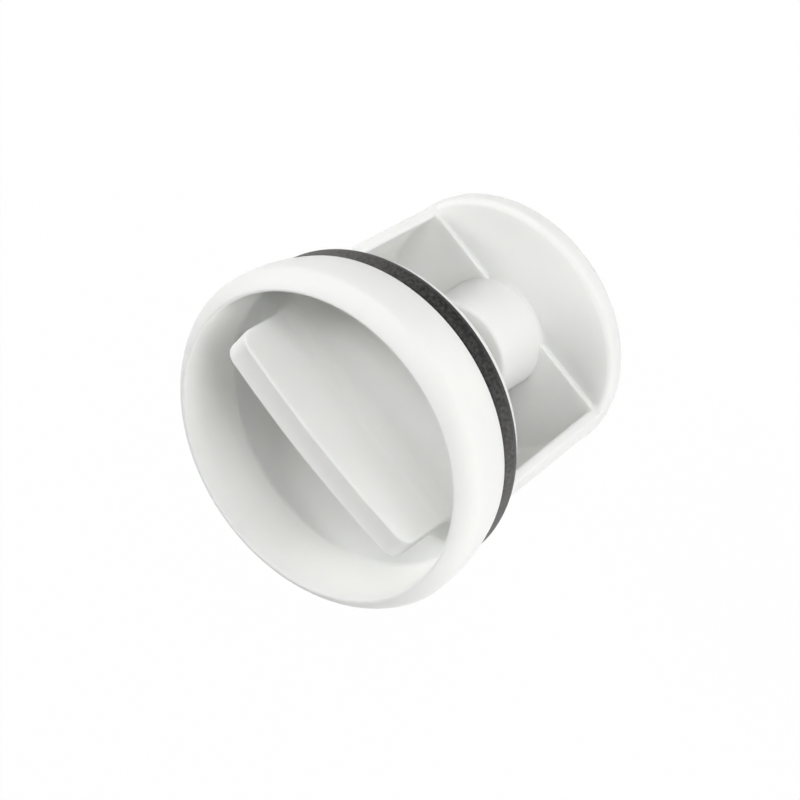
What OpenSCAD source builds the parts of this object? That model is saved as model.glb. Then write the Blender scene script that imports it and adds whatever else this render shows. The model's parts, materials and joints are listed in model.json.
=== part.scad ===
// Washer pump filter: a cup-shaped head with a bar grip, a sealing ring in a
// groove behind it, and a trough-shaped barrel that ends in a disc.
// The axis is Z. The end disc's rear face lies on z = 0 and the cup opens upwards.
// X runs along the grip, and the trough is open towards +Y.

/* [Head] */
// Widest diameter of the head
head_d = 64; // [52:0.5:90]
// Width of the lip's slope, from the widest circle in to the mouth
lip_w = 3.2; // [2:0.1:6]
// Height from the widest circle up to the mouth
lip_rise = 3.7; // [2:0.1:6]
// How far the lip's slope bulges outwards
lip_bulge = 0.45; // [0:0.05:0.8]
// Height of the head, from its rear edge to the mouth
head_h = 13.6; // [11.5:0.1:14.5]
// How much the head's side curves in towards its rear edge
flange_draft = 1.8; // [0.4:0.1:2.4]
// Depth of the cup
cup_depth = 13; // [12.2:0.1:16]
// How much the cup draws in towards its floor
cup_draft = 0.8; // [0.2:0.1:3]
// Thickness of the cup's floor, and of the wall in front of the groove
floor_t = 1.6; // [1.2:0.1:3.6]
// Rounding where the cup's wall meets its floor
cup_fillet = 0.6; // [0.4:0.1:2]
// Rounding of the head's edges
head_edge_r = 0.5; // [0.2:0.05:0.8]

/* [Grip] */
// Gap between the ends of the bar grip and the cup's wall
grip_end_gap = 4.8; // [2:0.1:10]
// Thickness of the bar grip
grip_t = 5.6; // [4:0.1:9]
// How far the middle of the grip stands above the mouth
grip_rise = 1.1; // [0:0.1:3]
// How much higher the grip is in the middle than at its ends
grip_crown = 1.2; // [0.4:0.1:2]
// Rounding of the grip's two upper corners
grip_corner_r = 3; // [1:0.1:6]
// Rounding of the grip's long edges
grip_edge_r = 0.5; // [0.3:0.05:1.2]
// Depth of the dished strip along the top of the grip
dish_depth = 0.3; // [0.1:0.05:0.6]
// Rounding where the grip meets the cup's floor
grip_foot_r = 3; // [0.5:0.1:3.6]

/* [Sealing ring and groove] */
// Section diameter of the ring
ring_section = 4.3; // [3:0.1:6]
// How far the fitted ring stays inside the head's rear edge
ring_inset = 0.2; // [0.1:0.1:1.6]
// Clearance between the ring and each side of its groove
ring_side_gap = 0.15; // [0.05:0.05:0.5]
// Clearance between the ring and the bottom of its groove
ring_seat_gap = 0.05; // [0.02:0.01:0.2]
// How far the flat wall in front of the groove stays inside the ring's outside
web_inset = 1; // [0.4:0.1:2]
// How far the guide lip behind the groove stays inside the head's rear edge
guide_lip_inset = 2; // [1.2:0.1:3]
// Thickness of the guide lip
guide_lip_t = 1.2; // [0.8:0.1:3]
// Wall between the groove and the hollow behind the cup
groove_wall = 2.2; // [1.4:0.1:3.5]

/* [Barrel] */
// Length of the part from the end disc's rear face to the guide lip's rear face
barrel_l = 37.5; // [26:0.5:60]
// How far the barrel stays inside the guide lip
barrel_inset = 1.5; // [1:0.1:4]
// How much the barrel draws in from the guide lip to the end disc
barrel_draft = 1.5; // [0.5:0.1:4]
// Wall thickness of the trough
trough_wall = 2; // [1.4:0.1:3]
// Height of the trough's edges above the axis
trough_edge_y = 7.4; // [0:0.2:9]

/* [End disc] */
// Thickness of the end disc
disc_t = 4; // [2.8:0.1:6]
// Rounding of the disc's rear edge
disc_rear_r = 1.2; // [0.4:0.1:1.6]
// Rounding of the disc's front edge
disc_front_r = 1.2; // [0.3:0.1:1.6]
// Thickness of the ledge that closes the trough in front of the disc
ledge_t = 1; // [0.6:0.1:4]

/* [Boss] */
// Diameter of the boss at its front
boss_d = 20.2; // [14:0.2:26]
// How much the boss widens towards the disc
boss_draft = 0.4; // [0.1:0.1:1]
// Distance from the end disc's front to the boss's front face
boss_l = 11.5; // [6:0.1:18]
// Rounding of the boss's front edge
boss_edge_r = 0.8; // [0.3:0.1:2]
// Wall of the boss around the recess that opens to the rear
boss_wall = 2.3; // [1.4:0.1:4]

/* [Hidden] */

// Overrun of cuts and of solids that reach into one another
over = 0.4;
// Facets of round solids, and steps of a rounding
$fn = 128;
arc_steps = 8;
crown_steps = 24;

// Heights along the axis
groove_w = ring_section + 2 * ring_side_gap;
lip_front_z = barrel_l + guide_lip_t;
web_z = lip_front_z + groove_w;
cup_z = web_z + floor_t;
mouth_z = cup_z + cup_depth;
rim_z = mouth_z - lip_rise;
flange_z = mouth_z - head_h;
ledge_z = disc_t + ledge_t;
boss_z = disc_t + boss_l;

// Radii
head_r = head_d / 2;
mouth_r = head_r - lip_w;
flange_r = head_r - flange_draft;
cup_floor_r = mouth_r - cup_draft;
ring_mid_r = flange_r - ring_inset - ring_section / 2;
groove_r = ring_mid_r - ring_section / 2 - ring_seat_gap;
web_r = ring_mid_r + ring_section / 2 - web_inset;
guide_lip_r = flange_r - guide_lip_inset;
hollow_r = groove_r - groove_wall;
barrel_front_r = guide_lip_r - barrel_inset;
disc_r = barrel_front_r - barrel_draft;
boss_r = boss_d / 2;

// The grip's crown is an arc of a large circle whose axis lies along Y
grip_top_z = mouth_z + grip_rise;
grip_half_l = cup_floor_r - grip_end_gap;
crown_r = (pow(grip_half_l, 2) + pow(grip_crown, 2)) / (2 * grip_crown);
crown_z = grip_top_z - crown_r;
crown_foot_r = cup_z - grip_crown - crown_z;
corner_x = grip_half_l - grip_corner_r;
corner_z = crown_z + sqrt(pow(crown_r - grip_corner_r, 2) - pow(corner_x, 2));
corner_angle = atan2(corner_z - crown_z, corner_x);
dish_half_w = grip_t / 2 - grip_edge_r;

// Points of an arc about a centre, from one angle to another
function arc(centre, r, from, to, steps = arc_steps) = [
    for (i = [0:steps])
        let (a = from + (to - from) * i / steps)
            [centre[0] + r * cos(a), centre[1] + r * sin(a)]
];

// Points of a slightly bulging line between two points, without its two ends
function bulging(from, to, bulge, steps = arc_steps) = [
    for (i = [1:steps - 1])
        let (s = i / steps,
             run = to - from,
             out = [-run[1], run[0]] / norm(run))
            from + run * s + out * bulge * 4 * s * (1 - s)
];

// Points of the head's side, which leaves the widest circle along the axis and curves in
function side(steps = arc_steps) = [
    for (i = [0:steps - 1])
        let (s = i / steps)
            [head_r - flange_draft * s * s, rim_z + (flange_z + head_edge_r - rim_z) * s]
];

// Rounded inner edge of the mouth, from the cup's wall to the lip's slope
function mouth_edge() =
    arc([mouth_r + head_edge_r, mouth_z - head_edge_r], head_edge_r, 180, 60);

// Half section of the head, its groove and its guide lip
function head_outline() = concat(
    [[0, cup_z], [cup_floor_r - cup_fillet, cup_z]],
    arc([cup_floor_r - cup_fillet, cup_z + cup_fillet], cup_fillet, -90, 0),
    mouth_edge(),
    bulging(mouth_edge()[arc_steps], [head_r, rim_z], lip_bulge),
    side(),
    arc([flange_r - head_edge_r, flange_z + head_edge_r], head_edge_r, 0, -90),
    [[web_r, web_z], [groove_r, web_z], [groove_r, lip_front_z]],
    [[guide_lip_r, lip_front_z], [guide_lip_r, barrel_l]],
    [[hollow_r, barrel_l], [hollow_r, web_z], [0, web_z]]
);

module head() {
    rotate_extrude()
        polygon(head_outline());
}

// Side outline of the grip: straight ends, rounded upper corners and a crowned top
module grip_outline() {
    polygon(concat(
        [[-grip_half_l, cup_z - over], [grip_half_l, cup_z - over]],
        arc([corner_x, corner_z], grip_corner_r, 0, corner_angle),
        arc([0, crown_z], crown_r, corner_angle, 180 - corner_angle, crown_steps),
        arc([-corner_x, corner_z], grip_corner_r, 180 - corner_angle, 180)
    ));
}

// Cross-section of the grip, drawn outwards from the crown's centre
module grip_section() {
    half_t = grip_t / 2;
    dish_r = (pow(dish_half_w, 2) + pow(dish_depth, 2)) / (2 * dish_depth);
    dish_a = asin(dish_half_w / dish_r);
    polygon(concat(
        [[crown_foot_r, -half_t]],
        arc([crown_r - grip_edge_r, -half_t + grip_edge_r], grip_edge_r, -90, 0),
        arc([crown_r + dish_r * cos(dish_a), 0], dish_r, 180 + dish_a, 180 - dish_a),
        arc([crown_r - grip_edge_r, half_t - grip_edge_r], grip_edge_r, 0, 90),
        [[crown_foot_r, half_t]]
    ));
}

// Rounding between the grip's side and the cup's floor
module grip_foot() {
    half_t = grip_t / 2;
    rotate([90, 0, 90])
        linear_extrude(2 * (grip_half_l - grip_edge_r), center = true)
            polygon(concat(
                [[0, cup_z - over], [half_t + grip_foot_r, cup_z - over]],
                arc([half_t + grip_foot_r, cup_z + grip_foot_r], grip_foot_r, 270, 180),
                [[0, cup_z + grip_foot_r]]
            ));
}

module grip() {
    sweep_angle = 2 * asin((grip_half_l + over) / crown_foot_r);
    intersection() {
        rotate([90, 0, 0])
            linear_extrude(grip_t + 2 * over, center = true)
                grip_outline();
        translate([0, 0, crown_z])
            rotate([90, 0, 0])
                rotate([0, 0, 90 - sweep_angle / 2])
                    rotate_extrude(angle = sweep_angle, $fn = 720)
                        grip_section();
    }
    grip_foot();
    mirror([0, 1, 0])
        grip_foot();
}

// Tapered solid that follows the barrel, drawn in from its outer face
module barrel_taper(inset, from_z, to_z) {
    slope = (barrel_front_r - disc_r) / (barrel_l - disc_t);
    r_at_from = disc_r + slope * (from_z - disc_t) - inset;
    r_at_to = disc_r + slope * (to_z - disc_t) - inset;
    translate([0, 0, from_z])
        cylinder(h = to_z - from_z, r1 = r_at_from, r2 = r_at_to);
}

// Half-open trough between the end disc and the guide lip
module trough() {
    block = 2 * (barrel_front_r + over);
    difference() {
        barrel_taper(0, disc_t - disc_front_r, barrel_l + over);
        barrel_taper(trough_wall, ledge_z, barrel_l + 2 * over);
        translate([-block / 2, trough_edge_y, disc_t - disc_front_r - over])
            cube([block, block, barrel_l]);
    }
}

// End disc with rounded edges
module end_disc() {
    rotate_extrude()
        polygon(concat(
            [[0, 0]],
            arc([disc_r - disc_rear_r, disc_rear_r], disc_rear_r, -90, 0),
            arc([disc_r - disc_front_r, disc_t - disc_front_r], disc_front_r, 0, 90),
            [[0, disc_t]]
        ));
}

// Round boss in the trough
module boss() {
    base_r = boss_r + boss_draft;
    rotate_extrude()
        polygon(concat(
            [[0, disc_t - over], [base_r, disc_t - over], [base_r, disc_t]],
            arc([boss_r - boss_edge_r, boss_z - boss_edge_r], boss_edge_r, 0, 90),
            [[0, boss_z]]
        ));
}

// Round recess that keeps the boss's wall thin, open to the rear
module core() {
    translate([0, 0, -over])
        cylinder(h = boss_z - boss_wall + over, r = boss_r - boss_wall);
}

module filter_body() {
    color("whitesmoke")
        difference() {
            union() {
                head();
                grip();
                trough();
                end_disc();
                boss();
            }
            core();
        }
}

module sealing_ring() {
    color("#26282b")
        translate([0, 0, web_z - groove_w / 2])
            rotate_extrude()
                translate([ring_mid_r, 0])
                    circle(d = ring_section, $fn = 48);
}

filter_body();
sealing_ring();
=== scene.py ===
"""Washer pump filter: the looks of its white moulding and its black sealing ring.

Lengths are in metres and written as millimetres times MM. The axis is Z, the cup opens upwards,
X runs along the bar grip, and the barrel is open towards +Y.
"""

import json

import bmesh
import bpy
import numpy as np
from mathutils import Matrix, Vector


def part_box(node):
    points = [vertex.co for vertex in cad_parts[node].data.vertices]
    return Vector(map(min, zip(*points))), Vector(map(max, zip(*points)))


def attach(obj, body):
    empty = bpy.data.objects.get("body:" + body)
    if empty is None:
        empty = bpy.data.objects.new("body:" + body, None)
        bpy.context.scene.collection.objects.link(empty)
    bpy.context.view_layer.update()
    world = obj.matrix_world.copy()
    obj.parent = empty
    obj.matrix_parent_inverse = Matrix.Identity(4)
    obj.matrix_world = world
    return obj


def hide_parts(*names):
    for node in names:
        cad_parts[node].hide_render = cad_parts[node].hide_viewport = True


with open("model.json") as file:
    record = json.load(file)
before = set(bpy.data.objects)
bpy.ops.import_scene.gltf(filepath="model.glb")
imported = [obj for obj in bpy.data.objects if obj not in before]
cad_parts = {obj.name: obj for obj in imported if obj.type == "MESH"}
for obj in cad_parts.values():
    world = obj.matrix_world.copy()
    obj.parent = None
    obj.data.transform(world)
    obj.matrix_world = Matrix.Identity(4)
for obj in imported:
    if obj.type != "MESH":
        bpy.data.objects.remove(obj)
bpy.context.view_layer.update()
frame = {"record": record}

MM = 0.001
mounts = {mount["name"]: mount for mount in frame["record"]["mounts"]}


def mount_size(name):
    """Radius, and lower and upper height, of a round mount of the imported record."""
    dims = mounts[name]["dims"]
    half = dims["length_mm"] * MM / 2
    z = mounts[name]["pos_m"][2]
    return dims["r_mm"] * MM, z - half, z + half


body_low, body_high = (np.array(corner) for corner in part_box("filter_body"))
ring_low, ring_high = (np.array(corner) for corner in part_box("sealing_ring"))
disc_r = mount_size("end_disc")[0]
lip_r, lip_rear_z, lip_front_z = mount_size("guide_lip")
core_r, _, core_z = mount_size("boss_core")

# Head, with its cup in front and the ring's groove and the barrel's hollow behind
HEAD_R = min(body_high[0], -body_low[0])
MOUTH_R = 28.8 * MM
MOUTH_Z = 57.9 * MM
MOUTH_ROUND = 0.4 * MM
RIM_Z = 54.2 * MM
SLOPE_BULGE = 0.45 * MM
FLANGE_R = 30.2 * MM
FLANGE_Z = 44.3 * MM
FLANGE_ROUND = 0.5 * MM
CUP_R = 28 * MM
CUP_Z = 44.9 * MM
CUP_ROUND = 0.6 * MM
WEB_R = 29 * MM
WEB_Z = 43.3 * MM
HOLLOW_R = 23.45 * MM
SMALL_ROUND = 0.3 * MM

# Sealing ring, with a low flash where the halves of its mould met
RING_R = ring_high[0]
RING_SECTION = ring_high[2] - ring_low[2]
RING_GAP = 0.05 * MM
FLASH_RISE = 0.06 * MM
FLASH_WIDTH = 0.35 * MM

# Grip, with the dish in its top
GRIP_HALF_L = CUP_R - 4.8 * MM
GRIP_HALF_T = 2.8 * MM
GRIP_TOP_Z = body_high[2]
GRIP_CROWN = 1.2 * MM
GRIP_CORNER = 3 * MM
GRIP_ROUND = 0.5 * MM
GRIP_FOOT = 3 * MM
DISH_DEPTH = 0.3 * MM
DISH_WAVE = 0.22 * MM
LONG_WAVE = 2.1 * MM
SHORT_WAVE = 1.3 * MM

# Barrel, end disc and boss
BARREL_R = 26.7 * MM
WALL = 2 * MM
WALL_FILLET = 0.6 * MM
EDGE_Y = 7.4 * MM
EDGE_ROUND = 0.35 * MM
INNER_EDGE_ROUND = 0.7 * MM
DISC_T = 4 * MM
DISC_REAR_ROUND = 1.2 * MM
DISC_FRONT_ROUND = 1.2 * MM
LEDGE_Z = 5 * MM
LEDGE_ROUND = 0.35 * MM
LEDGE_COVE = 0.3 * MM
BOSS_R = 10.1 * MM
BOSS_BASE_R = 10.5 * MM
BOSS_Z = 15.5 * MM
BOSS_ROUND = 0.8 * MM
BOSS_COVE = 0.8 * MM

# How far shells' faces stay apart, or reach into each other, so that none coincide. The grip's foot
# runs out on the cup's floor, so it sinks less.
SINK = 0.02 * MM
FOOT_SINK = 0.002 * MM

# Points closer together than this are one: within a shell, and where shells were joined
MERGE_REACH = 0.0001 * MM
JOIN_REACH = 0.002 * MM

# Steps round the axis, and the largest turn in one step of a rounding
TURNS = 256
STEP_ANGLE = np.radians(9)


def rounded(corners):
    """Outline through (a, b, rounding) corners.

    A rounding is an arc that touches both sides of its corner. With h half the corner's angle, its
    centre lies r / sin h along the corner's bisector, and it runs from one side's normal to the
    other's.
    """
    points = []
    for i, corner in enumerate(corners):
        here, r = np.array(corner[:2]), corner[2] if len(corner) > 2 else 0
        if r == 0:
            points.append(here[None])
            continue
        before, after = (np.array(corners[i + k][:2]) - here for k in (-1, 1))
        before, after = before / np.linalg.norm(before), after / np.linalg.norm(after)
        half = np.arccos(np.clip(before @ after, -1, 1)) / 2
        bisector = (before + after) / np.linalg.norm(before + after)
        from_normal = before / np.tan(half) - bisector / np.sin(half)
        to_normal = after / np.tan(half) - bisector / np.sin(half)
        turn = np.pi - 2 * half
        steps = max(2, int(np.ceil(turn / STEP_ANGLE)))
        s = np.linspace(0, 1, steps + 1)[:, None]
        curve = (np.sin((1 - s) * turn) * from_normal + np.sin(s * turn) * to_normal) / np.sin(turn)
        points.append(here + bisector * r / np.sin(half) + r * curve)
    return np.concatenate(points)


def bulge(start, end, rise, steps=12):
    """Corners along a parabola whose middle stands off the chord by rise, with both ends left out."""
    start, end = np.array(start), np.array(end)
    chord = end - start
    out = np.array([-chord[1], chord[0]]) / np.linalg.norm(chord)
    s = np.linspace(0, 1, steps + 1)[1:-1, None]
    return [tuple(point) for point in start + chord * s + out * rise * 4 * s * (1 - s)]


def arc(x, y, r, start, end, steps):
    """Points (x + r cos t, y + r sin t), with t in even steps from start to end.

    Where a size is a column, each of its rows gives a row of points.
    """
    t = start + (end - start) * np.linspace(0, 1, steps + 1)
    return np.stack([x + r * np.cos(t), y + r * np.sin(t)], axis=-1)


def cove(distance, size):
    """How far a hollow fillet of this size stands out, at a distance from the wall that it meets."""
    x = np.clip(distance / size, 0, 1)
    return size * (1 - np.sqrt(1 - (1 - x) ** 2))


def cleaned(mesh, reach):
    """Merges points that lie closer together than reach, and turns all faces outwards.

    Faces that the merging leaves without area are dropped.
    """
    work = bmesh.new()
    work.from_mesh(mesh)
    bmesh.ops.remove_doubles(work, verts=work.verts, dist=reach)
    bmesh.ops.dissolve_degenerate(work, dist=reach, edges=work.edges)
    bmesh.ops.recalc_face_normals(work, faces=work.faces)
    work.to_mesh(mesh)
    work.free()


def placed(name, data):
    """An object in the scene, made of this mesh, camera or lamp."""
    obj = bpy.data.objects.new(name, data)
    bpy.context.scene.collection.objects.link(obj)
    return obj


def shell(name, points, closed=False):
    """Closed mesh over a grid of points, in which each row closes on itself.

    So do the columns if closed is true. Otherwise the first and last rows get a face each. Points
    that coincide are merged, so a row that lies on the axis becomes a pole.
    """
    rows, cols = points.shape[:2]
    index = np.arange(rows * cols).reshape(rows, cols)
    if closed:
        index = np.concatenate([index, index[:1]])
    index = np.concatenate([index, index[:, :1]], axis=1)
    faces = np.stack([index[:-1, :-1], index[1:, :-1], index[1:, 1:], index[:-1, 1:]], axis=-1)
    faces = faces.reshape(-1, 4).tolist()
    if not closed:
        faces += [row[:cols].tolist() for row in (index[0], index[-1])]
    mesh = bpy.data.meshes.new(name)
    mesh.from_pydata(points.reshape(-1, 3).tolist(), [], faces)
    cleaned(mesh, MERGE_REACH)
    return placed(name, mesh)


def revolved(name, profile, closed=False):
    """Surface of revolution: the profile's point (r, z) at angle t lies at (r cos t, r sin t, z)."""
    t = np.linspace(0, 2 * np.pi, TURNS, endpoint=False)
    r, z = profile[:, :1], profile[:, 1:]
    points = np.stack([r * np.cos(t), r * np.sin(t), z + 0 * t], axis=-1)
    return shell(name, points, closed)


def stacked(name, outlines, z):
    """Surface through closed outlines: row i of the points (x, y) lies at height i of the column z."""
    heights = np.broadcast_to(z[:, None], (*outlines.shape[:2], 1))
    return shell(name, np.concatenate([outlines, heights], axis=-1))


def head():
    """Head, ring groove and guide lip: one profile turned about the axis.

    The head's side leaves the widest circle along the axis and draws in with the distance squared.
    The sloping lip starts with a straight stretch, which the mouth's rounding needs.
    """
    groove_r = RING_R - RING_SECTION - RING_GAP
    s = np.linspace(0, 1, 13)[:-1]
    side = list(zip(HEAD_R - (HEAD_R - FLANGE_R) * s**2, RIM_Z + (FLANGE_Z - RIM_Z) * s))
    lip = bulge((MOUTH_R, MOUTH_Z), (HEAD_R, RIM_Z), SLOPE_BULGE)[1:]
    cup = [(0, CUP_Z), (CUP_R, CUP_Z, CUP_ROUND), (MOUTH_R, MOUTH_Z, MOUTH_ROUND)]
    rear = [
        (FLANGE_R, FLANGE_Z, FLANGE_ROUND),
        (WEB_R, WEB_Z, SMALL_ROUND),
        (groove_r, WEB_Z, SMALL_ROUND),
        (groove_r, lip_front_z, SMALL_ROUND),
        (lip_r, lip_front_z, SMALL_ROUND),
        (lip_r, lip_rear_z, SMALL_ROUND),
        (HOLLOW_R, lip_rear_z, SMALL_ROUND),
        (HOLLOW_R, WEB_Z, WALL_FILLET),
        (0, WEB_Z),
    ]
    return revolved("head", rounded(cup + lip + side + rear))


def disc_and_boss():
    """End disc, boss and the boss's rear recess: one profile turned about the axis."""
    profile = [
        (0, BOSS_Z),
        (BOSS_R, BOSS_Z, BOSS_ROUND),
        (BOSS_BASE_R, DISC_T, BOSS_COVE),
        (disc_r, DISC_T, DISC_FRONT_ROUND),
        (disc_r, 0, DISC_REAR_ROUND),
        (core_r, 0, SMALL_ROUND),
        (core_r, core_z, WALL_FILLET),
        (0, core_z),
    ]
    return revolved("disc_and_boss", rounded(profile))


def trough():
    """Half-open wall: a C-shaped section carried along Z, with fillets where it meets its neighbours.

    Each half of the section is the outer arc from the bottom to the edge, two small arcs that round
    the edge, and the inner arc back. The small arcs' centres lie where circles that touch the wall
    and the edge's line have them. The radius grows evenly from the disc to the lip, and both ends
    of the wall lie inside the solids that they meet.
    """
    near_lip = lip_rear_z - np.linspace(0, WALL_FILLET, 7)[::-1]
    near_ledge = LEDGE_Z + np.linspace(0, WALL_FILLET, 7)
    near_disc = DISC_T + np.linspace(0, WALL_FILLET, 5)
    between = np.linspace(near_ledge[-1], near_lip[0], 12)[1:-1]
    rear_end = [DISC_T / 2, DISC_T - DISC_FRONT_ROUND]
    front_end = [lip_rear_z + WALL_FILLET]
    z = np.concatenate([rear_end, near_disc, near_ledge, between, near_lip, front_end])[:, None]
    lip_cove = cove(lip_rear_z - z, WALL_FILLET)
    ledge_cove = cove(z - LEDGE_Z, WALL_FILLET)
    disc_cove = cove(z - DISC_T, WALL_FILLET)
    grown = (BARREL_R - disc_r) * np.clip((z - DISC_T) / (lip_rear_z - DISC_T), 0, None)
    outer_r = disc_r - SINK + grown + lip_cove
    inner_r = disc_r - WALL + grown - lip_cove - ledge_cove
    edge_y = EDGE_Y + lip_cove + disc_cove
    outer_y, inner_y = edge_y - EDGE_ROUND, edge_y - INNER_EDGE_ROUND
    outer_x = np.sqrt((outer_r - EDGE_ROUND) ** 2 - outer_y**2)
    inner_x = np.sqrt((inner_r + INNER_EDGE_ROUND) ** 2 - inner_y**2)
    outer_end, inner_end = np.arctan2(outer_y, outer_x), np.arctan2(inner_y, inner_x)
    bottom, top = -np.pi / 2, np.pi / 2
    right = np.concatenate(
        [
            arc(0, 0, outer_r, bottom, outer_end, 72),
            arc(outer_x, outer_y, EDGE_ROUND, outer_end, top, 6),
            arc(inner_x, inner_y, INNER_EDGE_ROUND, top, np.pi + inner_end, 6),
            arc(0, 0, inner_r, inner_end, bottom, 72),
        ],
        axis=1,
    )
    left = right[:, ::-1] * [-1, 1]
    return stacked("trough", np.concatenate([right, left], axis=1), z)


def ledge():
    """Plate that closes the trough in front of the disc: a circle cut off by the line y = EDGE_Y.

    Its outline is drawn in by the profile's first value at the height of the second.
    """
    profile = rounded(
        [
            (-LEDGE_COVE, DISC_T / 2),
            (-LEDGE_COVE, DISC_T - SINK),
            (0, DISC_T - SINK, LEDGE_COVE - SINK),
            (0, LEDGE_Z, LEDGE_ROUND),
            (WALL, LEDGE_Z),
        ]
    )
    inset, z = profile[:, :1], profile[:, 1:]
    r = disc_r - WALL / 2 - inset
    end = np.arcsin((EDGE_Y - SINK - inset) / r)
    return stacked("ledge", arc(0, 0, r, np.pi - end, 2 * np.pi + end, 96), z)


def grip_path():
    """Side outline of the grip: up one end, round the corner, over the crown and down.

    The crown is an arc of a large circle, and each corner's circle touches the crown and the end.
    Each row holds x, z and the angle from +X of the outward normal.
    """
    crown_r = (GRIP_HALF_L**2 + GRIP_CROWN**2) / (2 * GRIP_CROWN)
    crown_z = GRIP_TOP_Z - crown_r
    corner_x = GRIP_HALF_L - GRIP_CORNER
    corner_z = crown_z + np.sqrt((crown_r - GRIP_CORNER) ** 2 - corner_x**2)
    end_t = np.arctan2(corner_z - crown_z, corner_x)
    rise = np.linspace(CUP_Z - GRIP_CORNER / 2, corner_z, 9)[:-1]
    up = np.stack([0 * rise + GRIP_HALF_L, rise, 0 * rise], axis=-1)
    t = np.linspace(0, end_t, 17)[:-1]
    corner = np.column_stack([arc(corner_x, corner_z, GRIP_CORNER, 0, end_t, 16)[:-1], t])
    t = np.linspace(end_t, np.pi / 2, 49)
    crown = np.column_stack([arc(0, crown_z, crown_r, end_t, np.pi / 2, 48), t])
    half = np.concatenate([up, corner, crown])
    other = half[-2::-1] * [-1, 1, -1] + [0, 0, np.pi]
    return np.concatenate([half, other])


def grip():
    """Bar grip: a cross-profile with rounded edges and a dished strip, carried along the side outline.

    With u the share of the way from the strip's middle to its edge, the dish's depth goes with
    1 - u squared to the power 0.8, and fades out down the ends. The strip's edge towards +Y wanders
    by two sine waves along X, and the shorter is 0.6 as high as the longer.
    """
    path = grip_path()
    x, z, t = path[:, :1], path[:, 1:2], path[:, 2:]
    strip_half = GRIP_HALF_T - GRIP_ROUND
    edge_t = np.linspace(0, np.pi / 2, 9)
    edge_y = strip_half + GRIP_ROUND * np.cos(edge_t)
    edge_inset = GRIP_ROUND - GRIP_ROUND * np.sin(edge_t)
    strip = np.linspace(1, -1, 25)[1:-1]
    side = np.concatenate([edge_y, strip * strip_half, -edge_y[::-1]])
    inset = np.concatenate([edge_inset, 0 * strip, edge_inset[::-1]])
    across = np.clip(side / strip_half, -1, 1)
    dish = np.clip(1 - across**2, 0, 1) ** 0.8
    on_top = np.clip(np.sin(t), 0, 1) ** 2
    wave = DISH_WAVE * (np.sin(x / LONG_WAVE) + 0.6 * np.sin(x / SHORT_WAVE + 1)) * on_top
    depth = inset + DISH_DEPTH * dish * on_top
    y = side + wave * np.clip(across, 0, 1) * dish**0.3
    points = np.stack([x - np.cos(t) * depth, y, z - np.sin(t) * depth], axis=-1)
    return shell("grip", np.swapaxes(points, 0, 1))


def grip_foot():
    """Hollow fillet round the grip's foot: a rounded rectangle that widens towards the cup's floor.

    Its outline is drawn in by the profile's first value at the height of the second.
    """
    profile = rounded(
        [
            (-GRIP_FOOT, CUP_Z - WALL / 2),
            (-GRIP_FOOT, CUP_Z - FOOT_SINK),
            (SINK, CUP_Z - FOOT_SINK, GRIP_FOOT),
            (SINK, CUP_Z + 2 * GRIP_FOOT),
        ]
    )
    inset, z = profile[:, :1], profile[:, 1:]
    x, y = GRIP_HALF_L - GRIP_ROUND, GRIP_HALF_T - GRIP_ROUND
    quarter = np.pi / 2
    corners = [
        arc(sx * x, sy * y, GRIP_ROUND - inset, i * quarter, (i + 1) * quarter, 8)
        for i, (sx, sy) in enumerate([(1, 1), (-1, 1), (-1, -1), (1, -1)])
    ]
    return stacked("grip_foot", np.concatenate(corners, axis=1), z)


def joined(name, first, others):
    """One closed mesh: the union of overlapping closed shells."""
    for other in others:
        union = first.modifiers.new(other.name, "BOOLEAN")
        union.operation = "UNION"
        union.solver = "EXACT"
        union.object = other
    graph = bpy.context.evaluated_depsgraph_get()
    mesh = bpy.data.meshes.new_from_object(first.evaluated_get(graph))
    mesh.name = name
    cleaned(mesh, JOIN_REACH)
    for obj in [first, *others]:
        bpy.data.objects.remove(obj)
    return placed(name, mesh)


def smooth(obj, sharp_deg):
    """Smooth shading that weights faces by size and keeps edges that turn by more than sharp_deg."""
    obj.data.shade_smooth()
    obj.data.set_sharp_from_angle(angle=np.radians(sharp_deg))
    weighted = obj.modifiers.new("weighted", "WEIGHTED_NORMAL")
    weighted.keep_sharp = True


def ring():
    """Sealing ring: a round section turned about the axis, with a low flash round it inside and out.

    The flash is a bell curve of the height: its rise times e to the minus (height over width) squared.
    """
    t = np.linspace(0, 2 * np.pi, 96, endpoint=False)
    section_r = RING_SECTION / 2
    flash = FLASH_RISE * np.exp(-((section_r * np.sin(t) / FLASH_WIDTH) ** 2))
    r = section_r - FLASH_RISE + flash
    centre_r, centre_z = RING_R - section_r, (ring_low[2] + ring_high[2]) / 2
    profile = np.stack([centre_r + r * np.cos(t), centre_z + r * np.sin(t)], axis=-1)
    return revolved("sealing_ring_rubber", profile, closed=True)


body = joined("filter_moulding", head(), [disc_and_boss(), trough(), ledge(), grip(), grip_foot()])
smooth(body, 35)
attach(body, "root")
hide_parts("filter_body")

seal = ring()
smooth(seal, 60)
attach(seal, "root")
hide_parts("sealing_ring")


class Field:
    """One output of a shader node. Its operators add Math nodes to the same tree."""

    def __init__(self, nodes, out):
        self.nodes, self.out = nodes, out

    def math(self, operation, *others):
        """A Math node, with this field as its first value."""
        values = dict(enumerate([self, *others]))
        return self.nodes.add("ShaderNodeMath", {"operation": operation}, values)

    def __add__(self, other):
        return self.math("ADD", other)

    def __sub__(self, other):
        return self.math("SUBTRACT", other)

    def __rsub__(self, other):
        return self * -1 + other

    def __mul__(self, other):
        return self.math("MULTIPLY", other)

    __radd__, __rmul__ = __add__, __mul__


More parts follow.
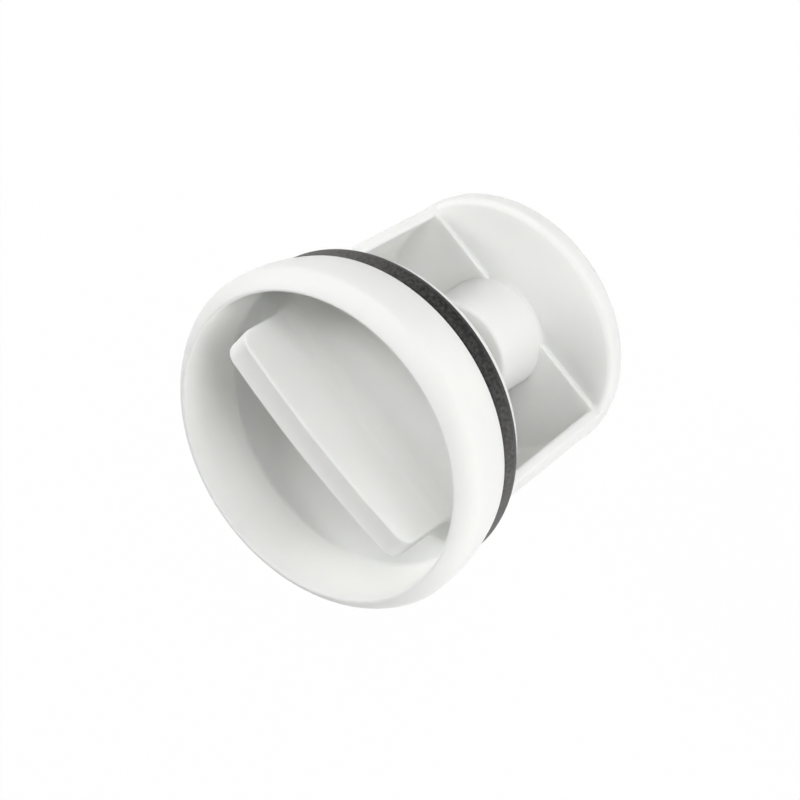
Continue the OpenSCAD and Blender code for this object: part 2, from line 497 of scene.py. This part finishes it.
class Nodes:
    """The node tree of a material or world, emptied, and the ways to fill it."""

    # Numbers of a Mix node's colour sockets
    MIX_FROM, MIX_TO, MIX_RESULT = 6, 7, 2

    def __init__(self, owner):
        owner.use_nodes = True
        self.tree = owner.node_tree
        self.tree.nodes.clear()

    def add(self, kind, settings=None, values=None, out=0):
        """Adds a node, sets it, then gives its sockets their values or links.

        Returns the output of the given name or number, if the node has outputs.
        """
        node = self.tree.nodes.new(kind)
        for key, value in (settings or {}).items():
            setattr(node, key, value)
        for key, value in (values or {}).items():
            if isinstance(value, Field):
                self.tree.links.new(value.out, node.inputs[key])
            else:
                node.inputs[key].default_value = value
        return Field(self, node.outputs[out]) if node.outputs else None

    def place(self):
        """Object coordinates."""
        return self.add("ShaderNodeTexCoord", out="Object")

    def noise(self, place, cells, detail):
        """Noise of about 0 to 1 with this many cells per metre."""
        values = {"Vector": place, "Scale": cells, "Detail": detail}
        return self.add("ShaderNodeTexNoise", None, values, "Fac")

    def mixed(self, factor, start, end):
        """Colour between start and end."""
        values = {"Factor": factor, self.MIX_FROM: (*start, 1), self.MIX_TO: (*end, 1)}
        return self.add("ShaderNodeMix", {"data_type": "RGBA"}, values, self.MIX_RESULT)

    def seen(self):
        """1 on rays from the camera, a gloss or a glass, and 0 on light that falls on things."""
        names = ("Is Camera Ray", "Is Glossy Ray", "Is Transmission Ray")
        camera_ray, gloss_ray, glass_ray = (self.add("ShaderNodeLightPath", out=name) for name in names)
        return (camera_ray + gloss_ray + glass_ray).math("MINIMUM", 1)


def white_plastic():
    """Milky satin plastic: faint clouding of the colour, uneven gloss and a fine moulded grain."""
    made = bpy.data.materials.new("white_plastic")
    nodes = Nodes(made)
    place = nodes.place()
    cloud = nodes.noise(place, 90, 3)
    grain = nodes.noise(place, 2600, 3)
    ripple = nodes.noise(place, 220, 2)
    colour = nodes.mixed(cloud, (0.842, 0.846, 0.83), (0.862, 0.866, 0.85))
    height = grain * 0.6 + ripple * 0.8
    bump = nodes.add("ShaderNodeBump", None, {"Strength": 0.25, "Distance": 0.06 * MM, "Height": height})
    values = {
        "Base Color": colour,
        "Roughness": 0.5 + 0.12 * ripple,
        "IOR": 1.49,
        "Normal": bump,
        "Specular IOR Level": 0.3,
        "Subsurface Weight": 0.8,
        "Subsurface Radius": (1, 0.95, 0.9),
        "Subsurface Scale": 2.5 * MM,
    }
    shader = nodes.add("ShaderNodeBsdfPrincipled", None, values)
    nodes.add("ShaderNodeOutputMaterial", None, {"Surface": shader})
    return made


def black_rubber():
    """Dull rubber: near-black and finely grained, with specks and with grey streaks along the ring.

    A painted reflection makes it greyer towards +X and -X. The streaks are noise over the arc
    length, the radius and the height, squeezed along the first.
    """
    made = bpy.data.materials.new("black_rubber")
    nodes = Nodes(made)
    place = nodes.place()
    x, y, z = (nodes.add("ShaderNodeSeparateXYZ", None, {"Vector": place}, axis) for axis in "XYZ")
    turn = y.math("ARCTAN2", x)
    r = (x * x + y * y).math("SQRT")
    along = nodes.add("ShaderNodeCombineXYZ", None, {"X": turn * (RING_R / 12), "Y": r, "Z": z})
    streak = nodes.noise(along, 1100, 3)
    speck = nodes.noise(place, 1500, 4)
    # Painted sheen: greyer towards +X and -X, in place of the white surroundings' reflection on the
    # ring's ends
    painted_sheen = x * x * (1 / RING_R**2)
    # Pale share: the rubber's own streaks and specks, plus the painted sheen
    pale_and_sheen = (streak * 0.1 + painted_sheen * 0.6 + (speck - 0.5) * 0.6).math("MAXIMUM", 0)
    colour = nodes.mixed(pale_and_sheen, (0.004, 0.004, 0.004), (0.2, 0.195, 0.19))
    height = speck + streak * 0.5
    bump = nodes.add("ShaderNodeBump", None, {"Strength": 0.5, "Distance": 0.08 * MM, "Height": height})
    values = {
        "Base Color": colour,
        "Roughness": 0.45 + 0.25 * speck,
        "Specular IOR Level": 0.25,
        "Normal": bump,
    }
    shader = nodes.add("ShaderNodeBsdfPrincipled", None, values)
    nodes.add("ShaderNodeOutputMaterial", None, {"Surface": shader})
    return made


def floor_white(glow_share):
    """Pale matte floor, of which the camera sees glow_share as plain white and the rest as it is lit."""
    made = bpy.data.materials.new("floor_white")
    nodes = Nodes(made)
    matte = nodes.add("ShaderNodeBsdfDiffuse", None, {"Color": (0.9, 0.9, 0.9, 1)})
    glow = nodes.add("ShaderNodeEmission", None, {"Color": (1, 1, 1, 1), "Strength": 1})
    shader = nodes.add("ShaderNodeMixShader", None, {0: nodes.seen() * glow_share, 1: matte, 2: glow})
    nodes.add("ShaderNodeOutputMaterial", None, {"Surface": shader})
    return made


def coat(obj, made):
    """Gives the object this material alone."""
    obj.data.materials.clear()
    obj.data.materials.append(made)


coat(body, white_plastic())
coat(seal, black_rubber())

FLOOR_HALF = 1.5


def floor():
    """Flat floor at the height that the filter stands on, which keeps a soft shadow."""
    mesh = bpy.data.meshes.new("floor")
    corners = [(sx * FLOOR_HALF, sy * FLOOR_HALF, 0) for sx, sy in [(-1, -1), (1, -1), (1, 1), (-1, 1)]]
    mesh.from_pydata(corners, [], [(0, 1, 2, 3)])
    obj = placed("floor", mesh)
    coat(obj, floor_white(0.99))


floor()

# Camera: the photograph's viewing angle, its rolled horizon and its long lens. AIM shows at AIM_PX.
VIEW_RIGHT = Vector((0.619173, 0.517910, -0.590249))
VIEW_UP = Vector((-0.780346, 0.489731, -0.388874))
VIEW_BACK = Vector((0.087662, 0.701379, 0.707378))
AIM = Vector((0, 0, 54 * MM))
IMAGE_PX = 800
AIM_PX = Vector((328.2, 439.6))
PX_PER_MM = 5.816
FOCAL_PX = 4000
SENSOR = 36


def camera():
    """Camera at the distance that gives PX_PER_MM at AIM, moved aside so that AIM shows at AIM_PX."""
    distance = FOCAL_PX / PX_PER_MM * MM
    aside = (AIM_PX - Vector((IMAGE_PX, IMAGE_PX)) / 2) / PX_PER_MM * MM
    stand = AIM + VIEW_BACK * distance - VIEW_RIGHT * aside.x + VIEW_UP * aside.y
    turned = Matrix((VIEW_RIGHT, VIEW_UP, VIEW_BACK)).transposed().to_4x4()
    data = bpy.data.cameras.new("camera")
    data.sensor_fit = "HORIZONTAL"
    data.sensor_width = SENSOR
    data.lens = SENSOR * FOCAL_PX / IMAGE_PX
    obj = placed("camera", data)
    obj.matrix_world = Matrix.Translation(stand) @ turned
    bpy.context.scene.camera = obj


camera()

LAMPS_AIM = Vector((0, 0, 30 * MM))
LAMP_REACH = 0.7
LAMP_SIZE = 0.3


def lamp(name, round_deg, up_deg, level):
    """Square soft lamp that faces LAMPS_AIM from round_deg degrees past +X and up_deg above the floor."""
    data = bpy.data.lights.new(name, "AREA")
    data.shape = "SQUARE"
    data.size = LAMP_SIZE
    data.energy = level
    around, up = np.radians(round_deg), np.radians(up_deg)
    direction = Vector((np.cos(up) * np.cos(around), np.cos(up) * np.sin(around), np.sin(up)))
    obj = placed(name, data)
    obj.location = LAMPS_AIM + direction * LAMP_REACH
    obj.rotation_euler = direction.to_track_quat("Z", "Y").to_euler()


lamp("key", 100, 36, 1.75)
lamp("side", -170, 34, 3.1)
lamp("rear", 68, 22, 1.35)
lamp("fill", -30, 12, 2.25)
lamp("low", 34, 8, 1.2)


def surround():
    """World that gives no light. The camera and gloss see plain white."""
    world = bpy.data.worlds.new("surround")
    nodes = Nodes(world)
    light = nodes.add("ShaderNodeBackground", None, {"Color": (1, 1, 1, 1), "Strength": nodes.seen()})
    nodes.add("ShaderNodeOutputWorld", None, {"Surface": light})
    bpy.context.scene.world = world


surround()

bpy.context.scene.view_settings.view_transform = "Standard"
